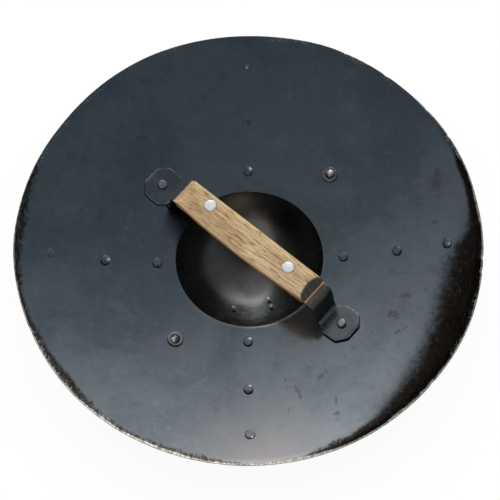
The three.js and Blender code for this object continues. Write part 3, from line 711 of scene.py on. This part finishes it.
def make_rivets():
    stud = domed_head(5, 2.6)
    for seed, (name, (head, wear_and_glint)) in enumerate(ARM_RIVETS.items()):
        profile = rivet_profile(flat_head(*head), 0.1, stud, stud_base(name.endswith("inner")))
        make_turned(f"arm_rivet_{name}", f"rivet_{name}", profile, "rivet_steel", seed, 0.06,
                    0.03 * math.sin(seed * 2.1), wear_and_glint)
    for seed, name in enumerate(("far_right", "near_left"), 20):
        # painted highlights on the domed heads, kept with the wear
        glint = glint_at(60, 1.2, 2.4) if name == "far_right" else glint_at(215, 2.4, 1.7)
        profile = rivet_profile(domed_head(4, 3), 1.6, stud, stud_base(True))
        make_turned(f"peened_rivet_{name}", f"boss_rivet_{name}", profile, "rivet_steel", seed, 0.09, 0.05,
                    glint)
        ring = [(2.5, 0.15), (6.3, 0.15), (6.6, 0.4), (6.6, 1.2), (6.35, 1.5), (5.9, 1.6), (3.1, 1.6),
                (2.5, 1.3), (2.5, 0.15)]
        rub = (lambda x, y, z: 0.35 * step(math.hypot(x, y), 4.6, 5.2) * step(math.hypot(x, y), 6.2, 5.8))
        make_turned(f"washer_piece_{name}", f"washer_{name}", ring, "washer_steel", seed + 5, 0.02, 0.0,
                    rub, 56)
    for seed, name in enumerate(("far", "near"), 24):
        base = FOOT_GAP + STRAP_THICKNESS + 0.1
        profile = rivet_profile(flat_head(3.8, 2.2), base, stud, stud_base(True))
        rub = (lambda x, y, z: 0.16 if z > base + 1.5 else 0.0)
        make_turned(f"strap_rivet_{name}", f"foot_rivet_{name}", profile, "rivet_steel", seed, 0.05, 0.03,
                    rub)


# ---------- handle ----------


def on_handle(along, across, height):
    c, s = math.cos(HANDLE_ANGLE), math.sin(HANDLE_ANGLE)
    return (HANDLE_CENTRE[0] + along * c - across * s, HANDLE_CENTRE[1] + along * s + across * c, height)


# Half width of the strap along its half length.
STRAP_EDGE = [(0, 12), (74.5, 12), (78, 11.4), (82.5, 10.5), (84.5, 11.6), (88, 15.2), (89.5, 15.5),
              (100.5, 15.5), (102, 15.1), (107.9, 8.1), (FOOT_END, 7.5)]


def foot_height(along):
    x, y, _ = on_handle(along, 0, 0)
    return dish_height(math.hypot(x, y)) + FOOT_GAP


def smoothed(points, rounds):
    """Cuts the corners off a line of points."""
    for _ in range(rounds):
        kept = [points[0]]
        for a, b in zip(points, points[1:]):
            kept.append(tuple(0.75 * p + 0.25 * q for p, q in zip(a, b)))
            kept.append(tuple(0.25 * p + 0.75 * q for p, q in zip(a, b)))
        points = kept + [points[-1]]
    return points


def strap_half(direction):
    """Stations from the middle to the end of one foot: (along, top, along, underside)."""
    foot = foot_height(direction * 82.5)
    end = foot_height(direction * FOOT_END)
    corners = [(0, strap_top, 0, strap_bottom), (70, strap_top, 70, strap_bottom),
               (71.7, strap_top, 71.5, strap_bottom), (73.5, strap_top - 0.3, 73.9, strap_bottom - 1.6),
               (75.9, strap_top - 2, 75.3, strap_bottom - 5), (77.4, strap_top - 6.2, 77.8, foot + 3.2),
               (79.9, foot + 4, 79, foot + 0.8), (81.5, foot + 2.4, 80.8, foot),
               (82.8, foot + 2, 82.5, foot), (84, foot + 2, 84, foot), (FOOT_END, end + 2, FOOT_END, end)]
    line = smoothed(corners, 2)
    stations = []
    for a, b in zip(line, line[1:]):
        parts = max(1, int(max(b[0] - a[0], 0) / 1.2))
        stations += [tuple(p + (q - p) * i / parts for p, q in zip(a, b)) for i in range(parts)]
    return stations + [line[-1]]


def strap_section():
    """Points round the bar: (side from -1 to 1, inset in mm, share of the way up, wear)."""
    corner = [(0.0, 0.0, 0.62, 0.6), (0.0, 0.12, 0.85, 1.0), (0.0, 0.5, 0.985, 0.8)]
    top = [(s, 0.9 if abs(s) == 1 else 0.0, 1.0, 0.1) for s in (1, 0.8, 0.5, 0.2, -0.2, -0.5, -0.8, -1)]
    right = [(1, inset, up, worn_and_painted_light) for _, inset, up, worn_and_painted_light in corner]
    left = [(-1, inset, up, worn_and_painted_light) for _, inset, up, worn_and_painted_light in corner[::-1]]
    upper = right + top + left
    lower = [(-side, inset, 1 - up, worn_and_painted_light * 0.7) for side, inset, up, worn_and_painted_light in upper]
    return upper + lower


def make_strap():
    section = strap_section()
    stations = [(-a, b, -c, d) for a, b, c, d in strap_half(-1)[:0:-1]] + strap_half(1)
    vertices, wear_and_glint = [], []
    last = len(stations) - 1
    for i, (top_at, top, low_at, low) in enumerate(stations):
        width = np.interp(abs(0.5 * (top_at + low_at)), *zip(*STRAP_EDGE))
        between = 0 < i < last
        for side, inset, up, worn_and_painted_light in section:
            shrink = 0.0 if between else 0.45
            share = 0.5 + (up - 0.5) * (1 if between else 0.6)
            across = side * (width - inset - shrink) if abs(side) == 1 else side * (width - 0.9 - shrink)
            across += 0.12 * wave(top_at / 14, side, 0, 6)
            along = low_at + (top_at - low_at) * share
            vertices.append(on_handle(along, across, low + (top - low) * share))
            wear_and_glint.append(min(1.0, worn_and_painted_light + (0.0 if between else 0.8)))
    count = len(section)
    faces = ring_faces(len(stations), count)
    faces += [tuple(range(count - 1, -1, -1)), tuple(range(last * count, (last + 1) * count))]
    return make_piece("strap", vertices, faces, "strap_steel", ["handle_strap"], {"wear_and_glint": wear_and_glint}, 40)


def make_scale(name, node, base, direction, half_length, side, crown, swell, seed):
    """One wooden scale, flat against the strap and crowned away from it."""
    start, end = SCALE_SHIFT - half_length, SCALE_SHIFT + half_length
    columns = 25
    rows = 150
    vertices, grain, rub, soot, flank = [], [], [], [], []
    for i in range(rows):
        share = i / (rows - 1)
        share = 0.5 - 0.5 * math.cos(math.pi * share) if 0.0 < share < 1.0 else share
        share = 0.35 * share + 0.65 * i / (rows - 1)
        along = start + (end - start) * share
        reach = min(along - start, end - along)
        slope = (side + crown + 1) * reach / SCALE_BEVEL
        bow = 4 * share * (1 - share) * swell
        ease = 0.35 * math.exp(-reach / 1.2)
        far = SCALE_HALF_WIDTH - ease + 0.18 * wave(along / 22, 0, 0, seed)
        near = -SCALE_HALF_WIDTH - bow + ease + 0.22 * wave(along / 19, 3, 0, seed)
        outline = [(far, 0.0, 0, 0), (far, side * 0.45, 0, 0.7), (far - 0.05, side - 1.3, 0.3, 0.8),
                   (far - 0.4, side - 0.45, 0.9, 0.3)]
        for k in range(13):
            q = 1 - 2 * (k + 0.9) / 13.8
            across = (far + near) / 2 + (far - near) / 2 * q
            outline.append((across, side + crown * (1 - q * q), 0.3 if abs(q) > 0.8 else 0.0, 0))
        outline += [(near + 0.4, side - 0.45, 0.9, 0.35), (near + 0.05, side - 1.3, 0.3, 0.9),
                    (near, side * 0.45, 0, 1.0), (near, 0.0, 0, 1.0)]
        gap = near - far
        outline += [(near - gap * k / 5, 0.0, 0, 0) for k in range(1, 5)]
        for across, up, pale, warm in outline:
            room = slope - up
            soft = 0.35
            lowered = 0.5 * (up + slope - math.sqrt((up - slope) ** 2 + soft * soft))
            lift = max(0.0, up if room > 2 * soft else lowered)
            dip = 0.06 * wave(along / 9, across / 5, 0, seed + 2) if up > 1 else 0.0
            vertices.append(on_handle(along, across, base + direction * (lift + dip)))
            grain.append((along, across, up))
            bevel = step(slope - up, 0.6, -0.4) if up > 0.5 else 0.0
            crest = math.exp(-((slope - up) / 0.9) ** 2) if up > side * 0.4 else 0.0
            at_end = along > 0
            bared = at_end and reach < 1.1
            rub.append(max(0.0, min(1.0, pale * 0.6 + (0.0 if at_end else 0.3 * max(bevel * 0.8, crest)))))
            seam = 0.75 if up == 0.0 and warm == 1.0 else 0.0
            soot.append(max(bevel, 0.35 * crest, seam) if at_end and not bared else seam)
            # painted shade: the side faces are drawn a deeper orange, most on the near side
            shade = warm * (1.0 if across < 0 else 0.45)
            flank.append(1.0 if bared else max(0.75 * shade * (1 - bevel), 0.0 if at_end else 0.30 * bevel))
    faces = ring_faces(rows, columns)
    if direction < 0:
        faces = [f[::-1] for f in faces]
        caps = [tuple(range(columns)), tuple(range(rows * columns - 1, (rows - 1) * columns - 1, -1))]
    else:
        caps = [tuple(range(columns - 1, -1, -1)), tuple(range((rows - 1) * columns, rows * columns))]
    layers = {"grain": grain, "rub": rub, "soot": soot, "side": flank}
    return make_piece(name, vertices, faces + caps, "grip_wood", [node], layers, 45)


def make_grip_rivet(name, node, seed):
    """A pale rivet through the wood, its ends hammered into low, uneven caps."""
    middle = node_middle(node)
    low, high = (v.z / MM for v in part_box(node))
    cap = [(5.05, -0.35), (5.1, 0.12), (4.95, 0.42), (4.5, 0.62), (3.4, 0.76), (2.2, 0.84), (1.0, 0.88),
           (0.05, 0.9)]
    top, bottom = high - 0.9, low + 0.9
    profile = [(r, bottom - z) for r, z in cap[::-1]] + [(2.5, bottom + 1), (2.5, top - 1)]
    profile += [(r, top + z) for r, z in cap]
    columns = 48
    vertices, wear_and_glint = [], []
    for r, z in profile:
        for j in range(columns):
            angle = 2 * math.pi * j / columns
            c, s = math.cos(angle), math.sin(angle)
            swell = 1 + 0.05 * wave(1.4 * c, 1.4 * s, 0, seed)
            on_cap = abs(z - middle[2]) > 8 and r < 4.8
            dip = 0.10 * wave(r * c / 2.2, r * s / 2.2, 0, seed + 1) if on_cap else 0.0
            height = min(high, max(low, z + dip - 0.05))
            vertices.append((middle[0] + r * c * swell, middle[1] + r * s * swell, height))
            wear_and_glint.append(step(r, 4.7, 5.05) * (0.5 + 0.5 * step(wave(c * 2, s * 2, 0, seed + 3), -0.2, 0.3)))
    return make_piece(name, vertices, ring_faces(len(profile), columns), "grip_rivet_aluminium", [node],
                      {"wear_and_glint": wear_and_glint}, 60)


make_plate()
make_boss()
make_rivets()
make_strap()
make_scale("wood_scale_upper", "grip_scale_upper", strap_top + SCALE_GAP, 1, seed=11, **UPPER_SCALE)
make_scale("wood_scale_lower", "grip_scale_lower", strap_bottom - SCALE_GAP, -1, seed=13, **LOWER_SCALE)
make_grip_rivet("pale_rivet_far", "grip_rivet_far", 15)
make_grip_rivet("pale_rivet_near", "grip_rivet_near", 18)

# ---------- floor, light and camera ----------

scene = bpy.context.scene
scene.view_settings.view_transform = "Standard"


FLOOR_REACH = 6.0
FLOOR_DROP = 2e-4


def make_floor():
    mesh = bpy.data.meshes.new("floor")
    signs = ((-1, -1), (1, -1), (1, 1), (-1, 1))
    corners = [(x * FLOOR_REACH, y * FLOOR_REACH, -FLOOR_DROP) for x, y in signs]
    mesh.from_pydata(corners, [], [(0, 1, 2, 3)])
    material = bpy.data.materials.new("pale_floor")
    material.use_nodes = True
    shader = material.node_tree.nodes["Principled BSDF"]
    shader.inputs["Base Color"].default_value = (0.11, 0.11, 0.11, 1)
    shader.inputs["Roughness"].default_value = 1.0
    shader.inputs["Specular IOR Level"].default_value = 0.0
    shader.inputs["Emission Color"].default_value = (1, 1, 1, 1)
    shader.inputs["Emission Strength"].default_value = 0.90
    mesh.materials.append(material)
    floor = bpy.data.objects.new("floor", mesh)
    scene.collection.objects.link(floor)


# The studio's bright areas: zenith and azimuth in degrees, then spread in radians and peak.
GLOW_AT, GLOW_SPREAD, GLOW_PEAK, GLOW_LIMIT = (90, 108), 0.271, 21.6, 6.0
WIDE_GLOW_AT, WIDE_GLOW_SPREAD, WIDE_GLOW_PEAK = (63, 72), 0.34, 0.58
WINDOW_AT, WINDOW_EDGE, WINDOW_PEAK = (62, -112), (0.62, 0.25), 0.9
# Edge of the dark flag beside the light: a direction is behind it where its dot product with
# this normal is below zero.
FLAG = (0.772, -0.198, 0.603)


def make_light():
    """A soft sky-like dome, brighter low down towards +Y and -Y, with a dark flag on the -X side."""
    world = bpy.data.worlds.new("studio")
    world.use_nodes = True
    scene.world = world
    world.cycles.sampling_method = "NONE"
    tree = world.node_tree
    way = add(tree, "ShaderNodeTexCoord").outputs["Generated"]

    def towards(direction):
        made = add(tree, "ShaderNodeVectorMath", {0: way, 1: direction}, operation="DOT_PRODUCT")
        return made.outputs["Value"]

    def angle_from(zenith, azimuth):
        zenith, azimuth = math.radians(zenith), math.radians(azimuth)
        flat = math.sin(zenith)
        direction = (flat * math.cos(azimuth), flat * math.sin(azimuth), math.cos(zenith))
        return maths(tree, "ARCCOSINE", towards(direction))

    glow = maths(tree, "EXPONENT", maths(tree, "MULTIPLY", angle_from(*GLOW_AT), -1 / GLOW_SPREAD))
    glow = maths(tree, "MINIMUM", maths(tree, "MULTIPLY", glow, GLOW_PEAK), GLOW_LIMIT)
    wide = maths(tree, "MULTIPLY", angle_from(*WIDE_GLOW_AT), 1 / WIDE_GLOW_SPREAD)
    wide = maths(tree, "MULTIPLY", maths(tree, "POWER", wide, 2.0), -1.0)
    wide = maths(tree, "MULTIPLY", maths(tree, "EXPONENT", wide), WIDE_GLOW_PEAK)
    glow = maths(tree, "ADD", glow, wide)
    window = remap(tree, angle_from(*WINDOW_AT), *WINDOW_EDGE, 0.0, WINDOW_PEAK)
    glow = maths(tree, "ADD", glow, window)
    warm = {0: (1.16, 1.0, 0.86), "Scale": glow}
    warm = add(tree, "ShaderNodeVectorMath", warm, operation="SCALE").outputs[0]
    sky = add(tree, "ShaderNodeVectorMath", {0: (0.35, 0.37, 0.385), 1: warm}, operation="ADD").outputs[0]
    ripple = grain_noise(tree, way, 9, 3, 0.6)
    flag = maths(tree, "ADD", towards(FLAG), maths(tree, "MULTIPLY", ripple, 0.04))
    flag = maths(tree, "MULTIPLY", remap(tree, flag, 0.020, -0.030), remap(tree, flag, -0.75, -0.35))
    sky = blend(tree, flag, sky, (0.17, 0.15, 0.13))
    path = add(tree, "ShaderNodeLightPath")
    soft = remap(tree, towards((0.10, 0.45, 0.89)), -0.1, 1.0)
    soft = blend(tree, soft, (0.72, 0.73, 0.75), (1.30, 1.29, 1.27))
    shown = blend(tree, path.outputs["Is Glossy Ray"], soft, sky)
    shown = blend(tree, path.outputs["Is Camera Ray"], shown, (0.97, 0.97, 0.97))
    background = tree.nodes["Background"]
    tree.links.new(shown, background.inputs["Color"])


CAMERA_AT = (0.0324, -0.7965, 1.8858)
CAMERA_ROLL = math.radians(-3.35)
CAMERA_LENS = 176.1
# How far the view's middle lies up and to the right of the hole's, in metres.
AIM_UP, AIM_RIGHT = 0.0067, 0.0005


def make_camera():
    """Looks down from the -Y side, slightly rolled."""
    at = Vector(CAMERA_AT)
    target = Vector((0, 0, dish_height(HOLE_RADIUS) * MM))
    forward = (target - at).normalized()
    right = forward.cross(Vector((0, 0, 1))).normalized()
    up = right.cross(forward)
    c, s = math.cos(CAMERA_ROLL), math.sin(CAMERA_ROLL)
    right, up = right * c + up * s, up * c - right * s
    target = target + up * AIM_UP + right * AIM_RIGHT
    forward = (target - at).normalized()
    right = (right - forward * right.dot(forward)).normalized()
    up = right.cross(forward)
    data = bpy.data.cameras.new("camera")
    data.sensor_width = 36
    data.lens = CAMERA_LENS
    data.clip_start = 0.05
    camera = bpy.data.objects.new("camera", data)
    scene.collection.objects.link(camera)
    rows = [(right[k], up[k], -forward[k], at[k]) for k in range(3)]
    camera.matrix_world = Matrix(rows + [(0, 0, 0, 1)])
    scene.camera = camera


make_floor()
make_light()
make_camera()
